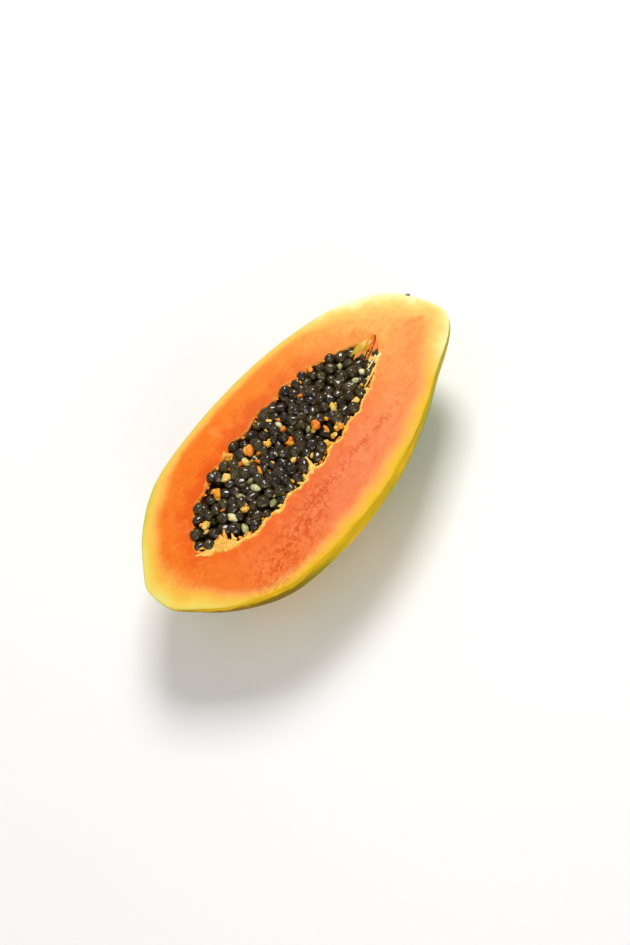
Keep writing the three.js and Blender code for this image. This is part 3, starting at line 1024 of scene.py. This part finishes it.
def push_apart(places, layer, held):
    """One round that moves the seeds that are too close apart. The first ones hold their places."""
    reach = CAVITY.half_length - layer.margin
    for i, here in enumerate(places):
        for j, there in enumerate(places[:i]):
            dx, dy = here[0] - there[0], here[1] - there[1]
            apart = math.hypot(dx, dy)
            if 0 < apart < layer.spacing:
                push = layer.push * (layer.spacing - apart) / apart
                if i >= held:
                    here[0] += push * dx
                    here[1] += push * dy
                if j >= held:
                    there[0] -= push * dx
                    there[1] -= push * dy
        here[0] = max(-reach, min(reach, here[0]))
        room = max(0, cavity_half(here[0]) - layer.margin)
        here[1] = max(-room, min(room, here[1]))


def seed_spots(random, layer, spots=()):
    """Middles of the seeds, pushed apart until they lie side by side. The spots keep their places."""
    reach = CAVITY.half_length - layer.margin
    widest = max(CAVITY.widths)
    places = []
    for place, y, *_ in spots:
        x = place - CAVITY.centre[0]
        places.append([x, y - cavity_middle(x)])
    while len(places) < layer.count:
        x = random((-reach, reach))
        y = random((-widest, widest))
        if abs(y) < cavity_half(x) - layer.margin:
            places.append([x, y])
    for _ in range(layer.rounds):
        push_apart(places, layer, len(spots))
    return places


def heap_height(layer, x, y):
    """Height of a layer's heap at a place in the cavity."""
    out = math.hypot(x / CAVITY.half_length, y / max(CAVITY.widths))
    return layer.level + layer.heap * (1 - out * out)


def seed_poses(start, layer, spots=()):
    """Middle, radii, tilt and yaw of every seed in a layer, those at the spots first."""
    random = draws(start)
    found = []
    for i, (x, y) in enumerate(seed_spots(random, layer, spots)):
        yaw = random((0, math.pi))
        tilt = random(layer.tilt)
        size = random(layer.size) * (spots[i][2] if i < len(spots) else 1)
        lift = random(layer.lift)
        radii = layer.radii
        if i < len(spots):
            radii = PULP_RADII if i < len(PULP_SPOTS) else PALE_RADII
        sunk = (layer.radii[2] - radii[2]) / 2
        z = heap_height(layer, x, y) + lift - sunk
        middle = (CAVITY.centre[0] + x, cavity_middle(x) + y, z)
        found.append((middle, [size * r for r in radii], tilt, yaw))
    return found


def ball(level):
    """Points and faces of a ball of radius 1."""
    mesh = bmesh.new()
    bmesh.ops.create_icosphere(mesh, subdivisions=level, radius=1.0)
    points = np.array([v.co[:] for v in mesh.verts])
    faces = [tuple(v.index for v in f.verts) for f in mesh.faces]
    mesh.free()
    return points, faces


def wrinkled(points, seed, wrinkle, lump, fineness=3.1):
    """A ball's points with net-like wrinkles and soft lumps."""
    ridge = 1 - 2 * np.abs(ripple(points, 1 / fineness, seed))
    return points * (1 + wrinkle * ridge + lump * ripple(points, 0.9, seed + 20))[:, None]


def turned(points, radii, tilt, yaw, middle):
    """A form scaled, tilted about y, turned about z and moved to its middle."""
    turn = Matrix.Rotation(yaw, 3, "Z") @ Matrix.Rotation(tilt, 3, "Y")
    return (points * radii) @ np.array(turn).T + middle


def seed_forms(level, wrinkle):
    """A few different wrinkled seeds, each a little pointed at one end."""
    points, faces = ball(level)
    forms = []
    for k in range(SEED_KINDS):
        form = wrinkled(points, 11.0 + 3.7 * k, wrinkle, 0.2)
        form[:, 1:] *= (1 - 0.16 * form[:, :1] - 0.10 * form[:, :1] ** 2 * (form[:, :1] > 0))
        forms.append(form)
    return forms, faces


def build_layer(name, material, start, layer, level, wrinkle, spots=(), edge=()):
    """One layer of black seeds, which leaves the spots free, and more on the edge."""
    forms, faces = seed_forms(level, wrinkle)
    random = draws(start + 1)
    parts = []
    for middle, radii, tilt, yaw in seed_poses(start, layer, spots)[len(spots):]:
        form, tone, swell = int(random((0, len(forms)))), random(), random(SWELL)
        swollen = np.array(radii) * swell * (random(STRETCH), 1.0, 1.0)
        tone += float(smooth(middle[0], *OLIVE_FROM)) * (OLIVE_TONE - tone)
        parts.append((turned(forms[form], swollen, tilt, yaw, middle), faces, tone))
    for k, (x, y) in enumerate(edge):
        yaw, tilt, tone = random((0, math.pi)), random(layer.tilt), random()
        form = forms[k % len(forms)]
        parts.append((turned(form, layer.radii, tilt, yaw, (x, y, EDGE_LEVEL)), faces, tone))
    add_toned(name, "seeds", parts, material)


def spot_poses():
    """Middle, radii and tilt of the bits of pulp and then of the pale seeds, on top of the heap."""
    poses = seed_poses(SEED_NUMBER, SEEDS, SPOTS)[:len(SPOTS)]
    return [((x, y, z + SPOTS_RAISED), radii, tilt) for (x, y, z), radii, tilt, _ in poses]


def build_pale_seeds(material):
    """Unripe seeds among the black ones, slim and pointed at both ends."""
    base, faces = ball(4)
    random = draws(STARTS["pale"])
    parts = []
    for (middle, radii, tilt), (*_, yaw, tone) in zip(spot_poses()[len(PULP_SPOTS):], PALE_SPOTS):
        form = wrinkled(base, random((0, 60)), 0.03, 0.12)
        form[:, 1:] *= 1 - random((0.1, 0.45)) * np.abs(form[:, :1]) ** 2
        parts.append((turned(form, radii, 0.4 * tilt, math.radians(yaw), middle), faces, tone))
    add_toned("pale_seeds", "seeds", parts, material)


def torn_clump(core, faces, middle, radii, tilt, yaw, tone, random):
    """A lumpy core with a few short strands that stick out of it."""
    core = wrinkled(core, random((0, 60)), 0.14, 0.4, 2.0)
    parts = [(turned(core, CLUMP.core * np.array(radii), tilt, yaw, middle), faces, tone)]
    for _ in range(CLUMP.strands):
        turn = random((0, 2 * math.pi))
        way = np.array([math.cos(turn), math.sin(turn), random((-0.1, 0.8))])
        way = way * radii[0] * random(CLUMP.length)
        root = np.array(middle) + CLUMP.root * way
        strand = bent_cone("clump", root, root + way, random(CLUMP.radius) * radii[1], random)
        parts.append((*strand, tone + random((-CLUMP.tone, CLUMP.tone))))
    return parts


def pulp_crumbs(random):
    """Small crumbs of pulp strewn between the seeds."""
    base, faces = ball(3)
    parts = []
    for x, y in seed_spots(random, CRUMBS):
        form = wrinkled(base, random((0, 60)), 0.12, 0.5, 1.7)
        radii = np.array([random(CRUMBS.long), random(CRUMBS.thick), random(CRUMBS.thick)])
        z = heap_height(SEEDS, x, y) + random(CRUMBS.lift)
        middle = (CAVITY.centre[0] + x, cavity_middle(x) + y, z)
        tilt, yaw = random((-1, 1)), random((0, math.pi))
        parts.append((turned(form, radii, tilt, yaw, middle), faces, random()))
    return parts


def build_pulp_bits(material):
    """Loose torn bits of pulp among the seeds, and crumbs of it between them."""
    base, faces = ball(4)
    random = draws(STARTS["pulp"])
    parts = []
    for (middle, radii, tilt), (*_, yaw, tone) in zip(spot_poses(), PULP_SPOTS):
        parts += torn_clump(base, faces, middle, radii, 0.5 * tilt, math.radians(yaw), tone, random)
    add_toned("pulp_bits", "seeds", parts + pulp_crumbs(random), material)


# Stage, light and camera


def build_stage():
    """A plain pale floor and an even pale surround."""
    material, tree = new_material("floor_paint")
    tint = ramp(tree, cloud(tree, 600, 2), "30 #f9f8f6, 70 #fcfbfa")
    finish_surface(tree, {"Base Color": tint, "Roughness": 0.7, "Specular IOR Level": 0.2})
    bpy.ops.mesh.primitive_circle_add(vertices=96, radius=FLOOR_RADIUS, fill_type="NGON")
    floor = bpy.context.object
    floor.name = "floor"
    floor.data.materials.append(material)

    world = bpy.data.worlds.new("surround")
    world.use_nodes = True
    background = world.node_tree.nodes["Background"]
    background.inputs["Color"].default_value = (1, 1, 1, 1)
    background.inputs["Strength"].default_value = SURROUND
    bpy.context.scene.world = world
    bpy.context.scene.view_settings.view_transform = "Standard"


def add_light(name, towards, distance, size, power):
    """A square soft light in the direction towards, aimed at the fruit."""
    data = bpy.data.lights.new(name, "AREA")
    data.size = size
    data.energy = power
    light = bpy.data.objects.new(name, data)
    away = Vector(towards).normalized()
    light.location = away * distance + Vector((0, 0, 0.05))
    light.rotation_euler = away.to_track_quat("Z", "Y").to_euler()
    bpy.context.scene.collection.objects.link(light)


def add_camera():
    """The camera at the photograph's angle to the cut face, rolled as it was."""
    turns = ((AZIMUTH, "Z"), (90 - ELEVATION, "X"), (ROLL, "Z"))
    swing, tip, roll = (Matrix.Rotation(math.radians(angle), 4, axis) for angle, axis in turns)
    data = bpy.data.cameras.new("camera")
    data.lens = LENS
    data.clip_start = 0.05
    camera = bpy.data.objects.new("camera", data)
    target = Matrix.Translation(in_frame([*LOOK_AT, 0.0]))
    back = Matrix.Translation((0, 0, DISTANCE))
    camera.matrix_world = target @ swing @ tip @ back @ roll
    bpy.context.scene.collection.objects.link(camera)
    bpy.context.scene.camera = camera


add_camera()
build_stage()
for light, settings in LIGHTS.items():
    add_light(light, *settings)

build_fruit(flesh_material(), skin_material())
build_strands(pulp_material("torn_pulp", "0 #fbdf90, 35 #fac650, 65 #f8a032, 100 #f57e20"))
build_tongue(pulp_material("tissue", "0 #b3ac30, 20 #d2b42e, 45 #dfa122, 70 #ea8c20, 90 #f5883a"))
build_vein(pulp_material("vein", "0 #b23c06, 100 #dc5c10"))
build_stalk(stalk_material())

# The lower layers take a shaded copy of the seed material: little painted sheen and a thinner coat, as
# painted shade under the top layer.
black = seed_material("papaya_seed", 0.38, 1.0)
dark = seed_material("papaya_seed_shaded_below", 0.05, 0.5)
build_layer("seeds_top", black, SEED_NUMBER, SEEDS, 4, 0.05, SPOTS, EDGE_SEEDS)
build_layer("seeds_middle", dark, STARTS["middle"], MIDDLE_LAYER, 3, 0.03)
build_layer("seeds_deep", dark, STARTS["deep"], DEEP_LAYER, 3, 0.0)
build_pale_seeds(pulp_material("pale_seed", "0 #efe6b8, 35 #d6d294, 65 #a3a36a, 100 #85855a"))
build_pulp_bits(pulp_material("loose_pulp", "0 #fbe28c, 25 #f9c546, 50 #f6a02a, 75 #f0821a, 100 #e8700e"))
